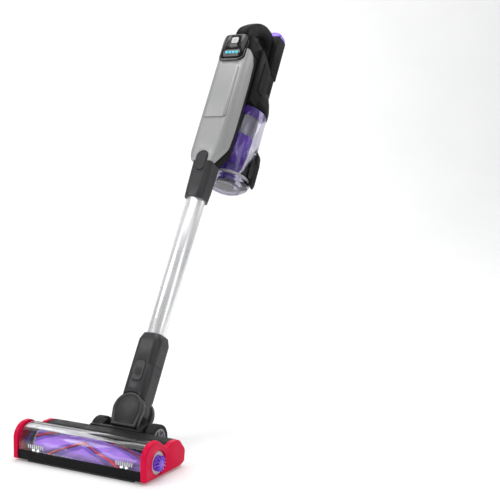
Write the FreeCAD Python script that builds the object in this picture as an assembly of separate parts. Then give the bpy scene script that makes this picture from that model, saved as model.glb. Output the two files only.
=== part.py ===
import FreeCAD, Part
import math
import os

# Cordless stick vacuum cleaner, millimetres.
# World frame: X to the machine's right, Y to the rear, Z up. The origin is on
# the floor, at the middle of the rear felt strip under the floor head.
# Stick frame: x as the world, v to the rear and u along the wand. It is leaned
# back by LEAN about X and set at STICK.
V = FreeCAD.Vector

# ---- driving dimensions -------------------------------------------------
HEAD_HALF = 140.0        # half width of the floor head over the end caps
CAP_T = 10.0             # thickness of an end cap
BRUSH_Y, BRUSH_Z = -34.0, 27.5
NAP_R = 24.5             # brush over the nap
CORE_R = 16.0
WINDOW_Y, WINDOW_Z, WINDOW_R = -37.5, 29.5, 32.5
AXLE_Y, AXLE_Z = 77.0, 27.2
AXLE_R = 4.0
WHEEL_R = 27.2
RUN = 0.05               # radial running clearance
LEAN = 29.8              # lean of the wand at rest, degrees
STICK = (0.0, 78.45, 34.9)
SWIVEL_U = 33.0          # swivel axis above the stick frame's origin
ARCH_R = 32.5            # arch of the yoke cover
TUBE_R, TUBE_WALL = 19.4, 1.2
SOCKET_TOP = 182.6
COLLAR_LOW, COLLAR_TOP = 472.0, 551.5
SHELL_LOW, SHELL_TOP = 552.0, 821.0
SHELL_HALF, SHELL_FRONT = 37.0, -24.5
CUP_V, CUP_R = 91.0, 47.4
CUP_LOW, CUP_TOP = 570.4, 727.7
LID_LOW = 547.0
BATT_HALF = 27.0
BATT_TOP = 937.0

PARTS = {}
t_ = math.radians(LEAN)
PLACE = FreeCAD.Placement(V(*STICK), FreeCAD.Rotation(V(1, 0, 0), -LEAN))


def axle_local():
    dy, dz = AXLE_Y - STICK[1], AXLE_Z - STICK[2]
    return (dy * math.cos(t_) - dz * math.sin(t_), dy * math.sin(t_) + dz * math.cos(t_))


AX_V, AX_U = axle_local()


# ---- helpers ------------------------------------------------------------
def rwire(pts, f):
    """Closed wire through (a, b, corner radius), mapped to 3-D by f."""
    n = len(pts)
    c = []
    for i in range(n):
        a, b = pts[i][0], pts[i][1]
        r = pts[i][2] if len(pts[i]) > 2 else 0
        if r <= 0:
            c.append(((a, b), (a, b), None))
            continue
        pa, pb = pts[i - 1], pts[(i + 1) % n]
        d0 = (pa[0] - a, pa[1] - b)
        d1 = (pb[0] - a, pb[1] - b)
        l0, l1 = math.hypot(*d0), math.hypot(*d1)
        d0 = (d0[0] / l0, d0[1] / l0)
        d1 = (d1[0] / l1, d1[1] / l1)
        ang = math.acos(max(-1, min(1, d0[0] * d1[0] + d0[1] * d1[1])))
        t = r / math.tan(ang / 2)
        s = (a + d0[0] * t, b + d0[1] * t)
        e = (a + d1[0] * t, b + d1[1] * t)
        bx, by = d0[0] + d1[0], d0[1] + d1[1]
        bl = math.hypot(bx, by)
        q = r / math.sin(ang / 2)
        m = (a + bx / bl * (q - r), b + by / bl * (q - r))
        c.append((s, e, m))
    edges = []
    for i in range(n):
        s, e, m = c[i]
        if m:
            edges.append(Part.Arc(f(*s), f(*m), f(*e)).toShape())
        nx = c[(i + 1) % n][0]
        if math.hypot(nx[0] - e[0], nx[1] - e[1]) > 1e-5:
            edges.append(Part.makeLine(f(*e), f(*nx)))
    return Part.Wire(edges)


def px(pts, x0, x1):
    """Profile in the second and third axes, pushed along the first."""
    w = rwire(pts, lambda a, b: V(x0, a, b))
    return Part.Face(w).extrude(V(x1 - x0, 0, 0))


def pv(pts, v0, v1):
    """Profile in the first and third axes, pushed along the second."""
    w = rwire(pts, lambda a, b: V(a, v0, b))
    return Part.Face(w).extrude(V(0, v1 - v0, 0))


def pz(pts, z0, z1):
    """Profile in the first and second axes, pushed along the third."""
    w = rwire(pts, lambda a, b: V(a, b, z0))
    return Part.Face(w).extrude(V(0, 0, z1 - z0))


def rect(hw, v0, v1, rf, rr=None):
    rr = rf if rr is None else rr
    return [(-hw, v0, rf), (hw, v0, rf), (hw, v1, rr), (-hw, v1, rr)]


def box(x0, x1, y0, y1, z0, z1):
    return Part.makeBox(x1 - x0, y1 - y0, z1 - z0, V(x0, y0, z0))


def cyl(r, p, d, h):
    return Part.makeCylinder(r, h, V(*p), V(*d))


def cylz(r, x, y, z0, z1):
    return Part.makeCylinder(r, z1 - z0, V(x, y, z0))


def cylx(r, y, z, x0, x1):
    return Part.makeCylinder(r, x1 - x0, V(x0, y, z), V(1, 0, 0))


def cylv(r, x, z, v0, v1):
    return Part.makeCylinder(r, v1 - v0, V(x, v0, z), V(0, 1, 0))


def cone(r0, r1, x, y, z0, z1):
    return Part.makeCone(r0, r1, z1 - z0, V(x, y, z0))


def fuse(*s):
    a = s[0]
    for b in s[1:]:
        a = a.fuse(b)
    return a.removeSplitter()


def fillet(shape, r, pick):
    """Round the edges that pick accepts; keep the shape if that is impossible."""
    es = [e for e in shape.Edges if pick(e)]
    if not es:
        return shape
    try:
        s = shape.makeFillet(r, es)
        if s.isValid() and s.Volume > 0.5 * shape.Volume:
            return s
    except Exception:
        pass
    return shape


def at(axis, val, tol=0.02):
    def pick(e):
        b = e.BoundBox
        lo = (b.XMin, b.YMin, b.ZMin)[axis]
        hi = (b.XMax, b.YMax, b.ZMax)[axis]
        return abs(lo - val) < tol and abs(hi - val) < tol
    return pick


def solids(shape):
    s = shape.Solids
    return s[0] if len(s) == 1 else Part.makeCompound(s)


def add(name, shape, stick=False):
    s = solids(shape)
    if stick:
        s = s.copy()
        s.Placement = PLACE.multiply(s.Placement)
    PARTS[name] = s


# ======================= FLOOR HEAD (world frame) ========================
XI = HEAD_HALF - CAP_T        # inner face of the caps, 130

cap_prof = [(-73, 4, 2), (-73, 65.5, 28), (-34, 66, 14), (-7, 46.5, 5), (8, 51.5, 8),
            (31, 51.5, 17), (49.5, 30, 12), (47, 8, 8), (34, 4, 4)]
CAP_R_BORE = 19.5


def end_cap(side):
    c = px(cap_prof, XI, HEAD_HALF)
    c = fillet(c, 2.6, at(0, HEAD_HALF))
    if side > 0:
        c = c.cut(cylx(CAP_R_BORE, BRUSH_Y, BRUSH_Z, XI - 1, HEAD_HALF + 1))
        c = c.cut(cylx(20.6, BRUSH_Y + .6, BRUSH_Z + .6, HEAD_HALF - 4.0, HEAD_HALF + 1))
    else:
        c = c.mirror(V(0, 0, 0), V(1, 0, 0))
        c = c.cut(cylx(AXLE_R + RUN, BRUSH_Y, BRUSH_Z, -XI - 8, -XI + 1))
    return c


add("end_cap_right", end_cap(1))
add("end_cap_left", end_cap(-1))

# lower chassis: sole frame round the suction mouth, chamber wall, rear box, axle ears
sole = box(-XI + .0, XI, -68, 46, 4.5, 7.5)
sole = sole.cut(box(-116, 116, -60, -8, 3, 9))
chamber = cylx(29.6, BRUSH_Y, BRUSH_Z, -XI, XI).cut(cylx(27.2, BRUSH_Y, BRUSH_Z, -XI - 1, XI + 1))
chamber = chamber.cut(box(-200, 200, -80, -15.5, -10, 80)).cut(box(-200, 200, -80, 0, -10, 6.0))
chamber = chamber.cut(box(-200, 200, -80, 0, 46, 80))
chamber = chamber.cut(box(-118, -106, -20, 2, 14, 40))          # belt slot
chamber = chamber.cut(box(-24, 24, -20, 2, 15, 40))             # air outlet
rear = box(-XI, XI, 43.5, 46, 7.5, 34.4)
rear = rear.cut(box(-24, 24, 40, 50, 12, 34))
duct = fuse(box(-26.5, -24, -4.6, 44, 7.5, 36.8), box(24, 26.5, -4.6, 44, 7.5, 36.8))
ear_prof = [(40, 8, 2), (40, 47.5, 1), (46, 48.0, 3), (66, 54.5, 5), (84, 46, 12), (91, 27, 12), (84, 12, 8), (60, 8, 6)]


def ear(x0, x1):
    e = px(ear_prof, x0, x1)
    e = e.cut(cylx(AXLE_R, AXLE_Y, AXLE_Z, x0 - 1, x1 + 1))
    return e


base = fuse(sole, chamber, rear, duct, ear(37.5, 48.5), ear(-48.5, -37.5))
base = fuse(base, box(-XI, -XI + 2.2, -4, 44, 7, 35.8), box(XI - 2.2, XI, -4, 44, 7, 35.8))
add("head_base", base)

# top cover behind the window, cut back in the middle to clear the yoke
outer = [(-33.2, 61.6, 0), (-29, 61.6, 4), (-7, 46.8, 6), (8, 50.5, 8), (33, 50.5, 12), (48.5, 36, 8), (48.5, 26, 0),
         (46.3, 26, 0), (46.3, 35.2, 6), (32.2, 48.2, 10), (8, 48.2, 7), (-7.6, 44.4, 6), (-30, 59.3, 3), (-33.2, 59.3, 0)]
top = px(outer, -XI + 0.1, XI - 0.1)
top = fuse(top, px([(34, 43, 0), (34, 51.3, 2), (45, 51.3, 3), (48.0, 44, 0), (46, 43, 0)], -54, 54))
top = top.cut(box(37, 50, 39.8, 60, 7, 60)).cut(box(-50, -37, 39.8, 60, 7, 60))
top = top.cut(box(-34, 34, 47.2, 60, 7, 60)).cut(box(-26, 26, 46.05, 60, 7, 34.4))
add("head_top_cover", top)

# black front bumper with an inlet slot behind it
bump = px([(-71.5, 4.2, 1), (-72.2, 19.5, 1.2), (-67.0, 20.2, 0), (-64.5, 20.2, 0), (-64.5, 12, 0), (-68.3, 11, 0), (-68.3, 4.2, 0)], -XI + .1, XI - .1)
for x in (-60, 0, 60):
    bump = bump.cut(box(x - 14, x + 14, -71.5, -60, 15.4, 17.0))
add("front_bumper", bump)

# clear curved window
win = [(WINDOW_Y - WINDOW_R, 20.6), (WINDOW_Y - WINDOW_R, WINDOW_Z)]
wo = Part.Arc(V(-XI + .1, WINDOW_Y - WINDOW_R, WINDOW_Z),
              V(-XI + .1, WINDOW_Y - WINDOW_R * math.cos(math.pi / 4), WINDOW_Z + WINDOW_R * math.sin(math.pi / 4)),
              V(-XI + .1, WINDOW_Y, WINDOW_Z + WINDOW_R)).toShape()
WRI = WINDOW_R - 2.4
wi = Part.Arc(V(-XI + .1, WINDOW_Y, WINDOW_Z + WRI),
              V(-XI + .1, WINDOW_Y - WRI * math.cos(math.pi / 4), WINDOW_Z + WRI * math.sin(math.pi / 4)),
              V(-XI + .1, WINDOW_Y - WRI, WINDOW_Z)).toShape()


def wl(a, b):
    return Part.makeLine(V(-XI + .1, *a), V(-XI + .1, *b))


y0, y1, zt = WINDOW_Y - WINDOW_R, WINDOW_Y - WRI, WINDOW_Z + WINDOW_R
wwire = Part.Wire([wl((y0, 20.4), (y0, WINDOW_Z)), wo, wl((WINDOW_Y, zt), (-33.4, zt)), wl((-33.4, zt), (-33.4, zt - 2.4)),
                   wl((-33.4, zt - 2.4), (WINDOW_Y, zt - 2.4)), wi, wl((y1, WINDOW_Z), (y1, 20.4)), wl((y1, 20.4), (y0, 20.4))])
add("brush_window", Part.Face(wwire).extrude(V(2 * XI - .2, 0, 0)))

# headlights: LEDs on small boards behind the window's lower edge, and ribbed lens bars
leds, lens = [], []
for s in (-1, 1):
    for x in (88, 98):
        leds.append(box(s * x - 1.7, s * x + 1.7, -67.4, -66.3, 21.4, 24.2))
    lens.append(box(s * 93 - 9, s * 93 + 9, -66.3, -65.1, 20.6, 31.0))
add("headlight_leds", Part.makeCompound(leds))
add("headlight_lenses", Part.makeCompound(lens))

# brush motor, its pinion body, the belt
mot = fuse(cylx(14.0, 22, 27.5, -98, -36), cylx(5.0, 22, 27.5, -101, -98))
mot = fillet(mot, 1.5, lambda e: abs(e.BoundBox.XMin + 36) < .02 and abs(e.BoundBox.XMax + 36) < .02)
mot = mot.cut(cylx(2.0 + RUN, 22, 27.5, -102, -88))
add("brush_motor", mot)


def hull2(r1, r2, c1, c2, x0, x1):
    """Belt-shaped prism round two circles in the y, z plane."""
    dy, dz = c2[0] - c1[0], c2[1] - c1[1]
    d = math.hypot(dy, dz)
    base_a = math.atan2(dz, dy)
    a = math.acos((r1 - r2) / d)
    def p(c, r, ang):
        return V(x0, c[0] + r * math.cos(ang), c[1] + r * math.sin(ang))
    p1, q1 = p(c1, r1, base_a + a), p(c2, r2, base_a + a)
    p2, q2 = p(c1, r1, base_a - a), p(c2, r2, base_a - a)
    w = Part.Wire([Part.Arc(p1, p(c1, r1, base_a + math.pi), p2).toShape(), Part.makeLine(p2, q2),
                   Part.Arc(q2, p(c2, r2, base_a), q1).toShape(), Part.makeLine(q1, p1)])
    return Part.Face(w).extrude(V(x1 - x0, 0, 0))


B1, B2 = (BRUSH_Y, BRUSH_Z), (22.0, 27.5)
belt = hull2(13.35, 6.35, B1, B2, -116, -108).cut(hull2(12.08, 5.08, B1, B2, -117, -107))
add("drive_belt", belt)
add("motor_pulley", fuse(cylx(5.0, 22, 27.5, -116.6, -107), cylx(6.6, 22, 27.5, -118, -116.6), cylx(2.0, 22, 27.5, -107, -89)))

# felt strips: the rear one carries the origin
add("felt_strips", Part.makeCompound([pz([(-112, -6, 2), (112, -6, 2), (112, 6, 2), (-112, 6, 2)], 0.0, 4.5),
                                      pz([(-112, -67.5, 1), (112, -67.5, 1), (112, -61.5, 1), (-112, -61.5, 1)], 0.0, 4.5)]))

# sole screws, round heads under the chassis
scr = []
for x, y in ((-90, 30), (90, 30), (-30, 24), (30, 24)):
    s = fuse(cylz(3.4, x, y, 3.0, 4.5), cylz(1.5, x, y, 4.5, 7.5))
    s = s.cut(box(x - 2.2, x + 2.2, y - .35, y + .35, 2.5, 3.6)).cut(box(x - .35, x + .35, y - 2.2, y + 2.2, 2.5, 3.6))
    scr.append(s)
add("sole_screws", Part.makeCompound(scr))
for x, y in ((-90, 30), (90, 30), (-30, 24), (30, 24)):
    PARTS["head_base"] = PARTS["head_base"].cut(cylz(1.5, x, y, 4, 8))

# pitch axle: also carries both wheels
axle = cylx(AXLE_R, AXLE_Y, AXLE_Z, -70.2, 70.2)
add("pitch_axle", fuse(axle, cylx(6.0, AXLE_Y, AXLE_Z, 69.0, 70.4), cylx(6.0, AXLE_Y, AXLE_Z, -70.4, -69.0)))


# wheels: grey spoked hub and rubber tyre
def wheel(s):
    x0, x1 = 50.0, 68.5
    tyre = cylx(WHEEL_R, AXLE_Y, AXLE_Z, x0, x1)
    tyre = fillet(tyre, 2.4, lambda e: True)
    tyre = tyre.cut(cylx(20.0, AXLE_Y, AXLE_Z, x0 - 1, x1 + 1))
    hub = cylx(20.0, AXLE_Y, AXLE_Z, x0 + 1.0, x1 - .6)
    hub = hub.cut(cylx(16.6, AXLE_Y, AXLE_Z, x1 - 5.0, x1 + 1)).fuse(cylx(7.0, AXLE_Y, AXLE_Z, x1 - 6, x1 - .8))
    for k in range(6):
        sp = box(x1 - 5.2, x1 - 1.6, AXLE_Y - 1.1, AXLE_Y + 1.1, AXLE_Z + 6, AXLE_Z + 17)
        sp.rotate(V(0, AXLE_Y, AXLE_Z), V(1, 0, 0), 60 * k)
        hub = hub.fuse(sp)
    hub = hub.removeSplitter().cut(cylx(AXLE_R + RUN, AXLE_Y, AXLE_Z, x0 - 1, x1 + 1))
    if s < 0:
        tyre = tyre.mirror(V(0, 0, 0), V(1, 0, 0))
        hub = hub.mirror(V(0, 0, 0), V(1, 0, 0))
    return tyre, hub


for s, n in ((1, "right"), (-1, "left")):
    ty, hb = wheel(s)
    add("wheel_tyre_" + n, ty)
    add("wheel_hub_" + n, hb)

# ---- brush roll ----------------------------------------------------------
core = fuse(cylx(CORE_R, BRUSH_Y, BRUSH_Z, -105.5, 126.0), cylx(12.0, BRUSH_Y, BRUSH_Z, -117.2, -105.5),
            cylx(14.2, BRUSH_Y, BRUSH_Z, -118.4, -117.2), cylx(AXLE_R, BRUSH_Y, BRUSH_Z, -137.5, -118.4))
add("brush_core", core)
add("brush_nap", cylx(NAP_R, BRUSH_Y, BRUSH_Z, -101.5, 116).cut(cylx(CORE_R, BRUSH_Y, BRUSH_Z, -103, 118)))
knob = cylx(13.6, BRUSH_Y, BRUSH_Z, 126.0, 142.0)
knob = fillet(knob, 4.0, at(0, 142.0))
for k in range(12):
    rb = box(133.0, 145.6, BRUSH_Y - 1.1, BRUSH_Y + 1.1, BRUSH_Z + 4.0, BRUSH_Z + 13.2)
    rb.rotate(V(0, BRUSH_Y, BRUSH_Z), V(1, 0, 0), 30 * k)
    knob = knob.fuse(rb)
knob = fuse(knob, cylx(5.0, BRUSH_Y, BRUSH_Z, 140.0, 145.6))
add("brush_end_knob", knob)
ring = cylx(CAP_R_BORE, BRUSH_Y, BRUSH_Z, 130.4, 137.0).cut(cylx(13.65, BRUSH_Y, BRUSH_Z, 120, 140))
for k in range(20):
    a = 2 * math.pi * k / 20
    gy, gz = BRUSH_Y + 17.6 * math.cos(a), BRUSH_Z + 17.6 * math.sin(a)
    ring = ring.cut(cylx(1.1, gy, gz, 134.0, 138))
add("brush_end_bearing", ring)

# ======================= YOKE (stick frame) ==============================
def arch_face(r, cu, hw_low, u0, v0):
    """Tombstone outline: a half circle of radius r on sides that taper to hw_low."""
    p = lambda a, b: V(a, v0, b)
    e = [Part.Arc(p(r, cu), p(0, cu + r), p(-r, cu)).toShape(), Part.makeLine(p(-r, cu), p(-hw_low, u0)),
         Part.makeLine(p(-hw_low, u0), p(hw_low, u0)), Part.makeLine(p(hw_low, u0), p(r, cu))]
    return Part.Face(Part.Wire(e))


def arch(r, cu, hw_low, u0, v0, v1):
    return arch_face(r, cu, hw_low, u0, v0).extrude(V(0, v1 - v0, 0))


barrel = cylx(12.0, AX_V, AX_U, -33.4, 33.4)
blk = px([(-14, 2), (-14, 33), (12, 33), (12, 0), (8, -12), (-6, -14)], -27.5, 27.5)
blk = fuse(blk, arch(ARCH_R, SWIVEL_U, 27.5, 2.0, -14, 12).cut(box(-40, 40, -20, 20, 25.5, 80)))
blk = blk.cut(cylv(30.2, 0, SWIVEL_U, -14.5, 12.5).cut(box(-40, 40, -30, 30, 66, 80)))
yoke = fuse(barrel, blk)
yoke = yoke.cut(cylx(AXLE_R + RUN, AX_V, AX_U, -40, 40))
yoke = yoke.cut(box(-9, 9, -10, 8, -3.0, 20))
add("yoke_frame", yoke, True)

cov = arch(ARCH_R, SWIVEL_U, 27.5, 1.5, -24.5, -14.2)
cov = fillet(cov, 2.6, at(1, -24.5))
gr = arch(ARCH_R - 7.0, SWIVEL_U, 21.2, 6.5, -25, -23.7).cut(arch(ARCH_R - 8.3, SWIVEL_U, 19.9, 7.8, -26, -23))
cov = cov.cut(gr).cut(cylv(5.0, 0, SWIVEL_U, -18.0, -10))
add("yoke_cover", cov, True)
rc = fuse(cylv(ARCH_R, 0, 30.5, 12.2, 22.0), px([(12.2, 0), (12.2, 20), (20.5, 20), (20.5, 2), (16, -4)], -24, 24))
rc = fillet(rc, 3.0, lambda e: e.BoundBox.YMin > 21.9)
rc = rc.cut(cylv(5.0, 0, SWIVEL_U, 10, 17.0)).cut(cylx(12.2, AX_V, AX_U, -40, 40))
add("yoke_rear_cover", rc, True)
add("swivel_pins", Part.makeCompound([cylv(5.0, 0, SWIVEL_U, -18.0, -9.4), cylv(5.0, 0, SWIVEL_U, 7.4, 17.0)]), True)

# ======================= SOCKET (stick frame) ============================
def sock_sec(a, v, r):
    return rect(a, -v, v, r)


s1 = pz(sock_sec(25.0, 24.2, 13), 36, 169)
s2a = rwire(sock_sec(25.0, 24.2, 13), lambda a, b: V(a, b, 169))
s2b = rwire(sock_sec(20.8, 21.2, 13), lambda a, b: V(a, b, SOCKET_TOP))
s2 = Part.makeLoft([s2a, s2b], True, True)
sk = fuse(s1, s2)
sk = sk.cut(cylv(ARCH_R + 1.0, 0, SWIVEL_U, -30, -13.6)).cut(cylv(ARCH_R + 1.0, 0, SWIVEL_U, 11.6, 30))
sk = sk.cut(box(-40, 40, -30, 30, 20, SWIVEL_U + 2))
drum = cylv(29.4, 0, SWIVEL_U, -13.6, 11.6)
sk = fuse(sk, drum)
inner = cylv(25.4, 0, SWIVEL_U, -9.4, 7.4)
sk = sk.cut(inner)
sk = sk.cut(box(-25, 25, -9.4, 7.4, 0, 22))
sk = sk.cut(box(-8.6, 8.6, -9.4, 7.4, 50, 70))
sk = sk.cut(cylz(13.5, 0, 0, 66, 90))
sk = sk.cut(cylz(16.7, 0, 0, 84, 140)).cut(cylz(19.7, 0, 0, 134, 190))
sk = sk.cut(cylv(5.0 + RUN, 0, SWIVEL_U, -20, 20))
pill = lambda hw, u0, u1, r: [(-hw, u0, r), (hw, u0, r), (hw, u1, r), (-hw, u1, r)]
sk = sk.cut(pv(pill(12.2, 87.6, 127.4, 8.4), -30, -19.0))
sk = sk.cut(pz(rect(30, -30, 30, 2), 122.6, 123.4).cut(pz(sock_sec(24.4, 23.6, 12.6), 122, 124)).cut(box(-40, 14, -40, 8, 120, 126)))
add("lower_socket", sk, True)
BTN1 = pv(pill(11.8, 88, 127, 8), -25.6, -21.8)
BTN1 = fillet(BTN1, 1.2, at(1, -25.6))
BTN1 = BTN1.cut(cylv(1.8, 0, 100, -26, -25.0))
add("socket_release_button", BTN1, True)

# ======================= WAND (stick frame) ==============================
tube = cylz(TUBE_R, 0, 0, 134.3, 500).cut(cylz(TUBE_R - TUBE_WALL, 0, 0, 130, 505))
add("wand_tube", tube, True)
ins = fuse(cylz(16.4, 0, 0, 85.0, 150.0), cylz(TUBE_R - TUBE_WALL, 0, 0, 135.5, 158))
ins = ins.cut(cylz(14.0, 0, 0, 80, 160))
add("wand_lower_insert", ins, True)

cb = rwire(rect(21.4, -21.6, 22.4, 12), lambda a, b: V(a, b, COLLAR_LOW + 20))
cc = rwire(rect(23.0, -22.0, 23.0, 12), lambda a, b: V(a, b, COLLAR_TOP))
ca = rwire(rect(20.6, -20.6, 20.6, 12), lambda a, b: V(a, b, COLLAR_LOW))
col = fuse(Part.makeLoft([ca, cb], True, True), Part.makeLoft([cb, cc], True, True))
tab = pv([(-13, 545, 0), (13, 545, 0), (13, 573.5, 12.9), (-13, 573.5, 12.9)], -22.0, -14.5)
col = fuse(col, tab)
col = col.cut(cylz(TUBE_R, 0, 0, 465, 500)).cut(cylz(16.7, 0, 0, 499, 580))
col = col.cut(pv(pill(10.8, 530.4, 570.6, 8.4), -30, -17.6))
add("upper_collar", col, True)
BTN2 = pv(pill(10.4, 530.8, 570.2, 8), -23.4, -19.9)
BTN2 = fillet(BTN2, 1.2, at(1, -23.4))
add("collar_release_button", BTN2, True)

# ======================= HANDHELD (stick frame) ==========================
def sect(hw, v0, v1, r, u0, u1):
    return pz([(-hw, v0, r), (hw, v0, r), (hw, v1, 1.0), (-hw, v1, 1.0)], u0, u1)


def shell_body(off, top):
    """Front shell envelope: section, front outline and side outline together."""
    hw, vf, r = SHELL_HALF - off, SHELL_FRONT + off, 18.0 - off * .8
    a = sect(hw, vf, 40, r, SHELL_LOW + off, top)
    f = pv([(-24 + off, SHELL_LOW + off, 1), (24 - off, SHELL_LOW + off, 1), (36.5 - off, 588, 30), (37.2 - off, 640, 0), (37.2 - off, 792, 20),
            (34.5 - off, top + .5, 0), (-34.5 + off, top + .5, 0), (-37.2 + off, 792, 20), (-37.2 + off, 640, 0), (-36.5 + off, 588, 30)], -40, 50)
    s = px([(-22.0 + off, SHELL_LOW + off), (-24.6 + off, 590), (-24.6 + off, top + 1), (40, top + 1), (40, SHELL_LOW + off)], -50, 50)
    return a.common(f).common(s)


sh = shell_body(0, SHELL_TOP)
rear_cut = px([(13.0, 690), (12.2, 640), (9.0, 598, 6), (-10, SHELL_LOW - 2), (60, SHELL_LOW - 2), (60, 840), (-15, 840), (-13, 821.5),
               (3.0, 817.5, 8), (10.5, 800, 20), (13.2, 755)], -60, 60)
sh = sh.cut(rear_cut)
sh = sh.cut(shell_body(2.6, SHELL_TOP - 2.6))
sh = sh.cut(pv([(-13.8, 540, 0), (13.8, 540, 0), (13.8, 574.3, 13.7), (-13.8, 574.3, 13.7)], -40, -12))
sh = sh.cut(cylz(17.0, 0, 0, 545, 560))
sh = sh.cut(pv([(-22, 797, 8), (22, 797, 8), (22, 818, 0), (-22, 818, 0)], -30, -20))
add("front_shell", sh, True)

# raised front panel, wrapped round the shell's corners
pan = sect(SHELL_HALF + 1.7, SHELL_FRONT - 1.7, 20, 19.6, 640, 800)
pan = pan.common(pv([(-27, 652, 8), (27, 652, 8), (25, 779, 9), (-25, 779, 9)], -40, -8))
pan = pan.cut(sect(SHELL_HALF + .02, SHELL_FRONT - .12, 50, 18.0, 600, 830))
add("front_panel", pan, True)

# spine frame behind the shell
sp_side = px([(-8.2, 553.2), (0.4, 575), (7.9, 594), (7.6, 604), (9.6, 640), (10.6, 690), (10.6, 755), (8.2, 800), (4.0, 811), (4.0, 824), (29.1, 824, 0), (29.1, 588, 12), (20, 556, 8), (14, 553.2)], -60, 60)
fr_lim = pv([(-21, 553, 0), (21, 553, 0), (32.8, 588, 15), (33.9, 620, 0), (34.2, 645, 0), (34.2, 790, 0), (32.2, 813, 0), (32.2, 830, 0), (-32.2, 830, 0), (-32.2, 813, 0), (-34.2, 790, 0), (-34.2, 645, 0), (-33.9, 620, 0), (-32.8, 588, 15)], -60, 60)
sp = pz([(-34.3, -12.6, 0), (34.3, -12.6, 0), (34.3, 29.0, 5), (-34.3, 29.0, 5)], 553.2, 824).common(sp_side).common(fr_lim)
hollow = px([(12.4, 604, 0), (13.2, 640), (13.6, 810, 0), (26.4, 810, 0), (26.4, 592, 0), (16, 566, 0), (10.0, 566, 0)], -31.3, 31.3)
sp = sp.cut(hollow.common(pv([(-18, 560), (18, 560), (30.2, 590), (31.3, 614), (31.3, 812), (-31.3, 812), (-31.3, 614), (-30.2, 590)], -60, 60)))
sp = sp.cut(cylz(17.0, 0, 0, 545, 568))
pillx = [(16.6, 616.0, 4.6), (26.2, 616.0, 4.6), (26.2, 648, 4.6), (16.6, 648, 4.6)]
sp = sp.cut(px([(15.6, 615.0, 5.6), (27.2, 615.0, 5.6), (27.2, 649, 5.6), (15.6, 649, 5.6)], -37, -32.6))
sp = sp.cut(px([(19.2, 618.5, 2), (23.6, 618.5, 2), (23.6, 645.5, 2), (19.2, 645.5, 2)], -36, -30))
add("spine_frame", sp, True)
CB = fuse(fillet(px(pillx, -36.6, -34.9), .7, at(0, -36.6)), px([(19.6, 619, 1.8), (23.2, 619, 1.8), (23.2, 645, 1.8), (19.6, 645, 1.8)], -34.9, -30.2))
add("cup_release_button", CB, True)

# nozzle that plugs into the collar
nz = cylz(16.4, 0, 0, 506, 566).cut(cylz(13.8, 0, 0, 500, 570))
add("inlet_nozzle", nz, True)

# head shell: rounded black block behind the display, joins spine to handle
hs = px([(-24.6, SHELL_TOP + .0), (-24.6, 853, 6), (-10, 862, 8), (22, 868, 12), (35, 860.5, 6), (33.2, 852.6, 1.5), (29.0, 851.4, 0), (29.0, 824.2, 0), (3.4, 824.2), (3.4, 818.6, 0), (-12.4, 822.4, 0)], -33.5, 33.5)
hs = hs.common(pz([(-33.5, -24.6, 15), (33.5, -24.6, 15), (33.5, 40, 10), (-33.5, 40, 10)], 815, 880))
hs = hs.common(pv([(-34.4, 815), (34.4, 815), (33.6, 836, 8), (32.6, 869, 19), (-32.6, 869, 19), (-33.6, 836, 8)], -60, 60))
hs = hs.cut(px([(-20.5, 824), (-20.5, 846, 3), (20, 852, 5), (26, 846, 5), (26, 827), (1, 827), (1, 824)], -27.5, 27.5))
hs = hs.cut(pv([(-12, 829, 3), (12, 829, 3), (12, 847, 3), (-12, 847, 3)], -30, -18))
add("head_shell", hs, True)

# glossy display over the top of the shell
dp = sect(38.2, -27.4, 20, 20.5, 785, 856)
dp = dp.common(pv([(-30.6, 789, 14), (30.6, 789, 14), (30.6, 853, 17), (-30.6, 853, 17)], -40, -10))
dp = dp.cut(sect(SHELL_HALF + .1, SHELL_FRONT - .15, 50, 18.0, 700, 900))
ledp = [(-19.6, 803.6, 4.4), (19.6, 803.6, 4.4), (19.6, 812.6, 4.4), (-19.6, 812.6, 4.4)]
dp = dp.cut(pv(ledp, -30, -26.2))
pbw = [(-7.9, 830.8, 3.4), (7.9, 830.8, 3.4), (7.9, 845.2, 3.4), (-7.9, 845.2, 3.4)]
dp = dp.cut(pv([(-8.3, 830.4, 3.7), (8.3, 830.4, 3.7), (8.3, 845.6, 3.7), (-8.3, 845.6, 3.7)], -30, -20))
add("display_panel", dp, True)
add("light_strip", pv(ledp, -27.6, -26.2), True)
pb = fillet(pv(pbw, -28.2, -25.4), .6, at(1, -28.2))
add("power_button", pb, True)

# handle: bar and rear leg, one closed loop with the head shell
hl = px([(-9.5, 862.8, 0), (-9.5, 880, 4), (38, 926, 22), (60, 937, 16), (96.4, 937, 3), (96.4, 826, 0), (87.0, 826, 0), (87.0, 905, 5), (62, 906, 12), (37.5, 890, 5), (30, 866.4, 0), (21.5, 868.4, 0)], -15.5, 15.5)
hl = fillet(hl, 6.0, lambda e: (abs(abs(e.BoundBox.XMin) - 15.5) < .02 and abs(e.BoundBox.XMax - e.BoundBox.XMin) < .01
                              and e.BoundBox.ZMax > 866 and e.BoundBox.ZMin > 862.9 and e.BoundBox.YMax < 96.3 and not (e.BoundBox.ZMin < 827)))
add("handle_loop", hl, True)

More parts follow.
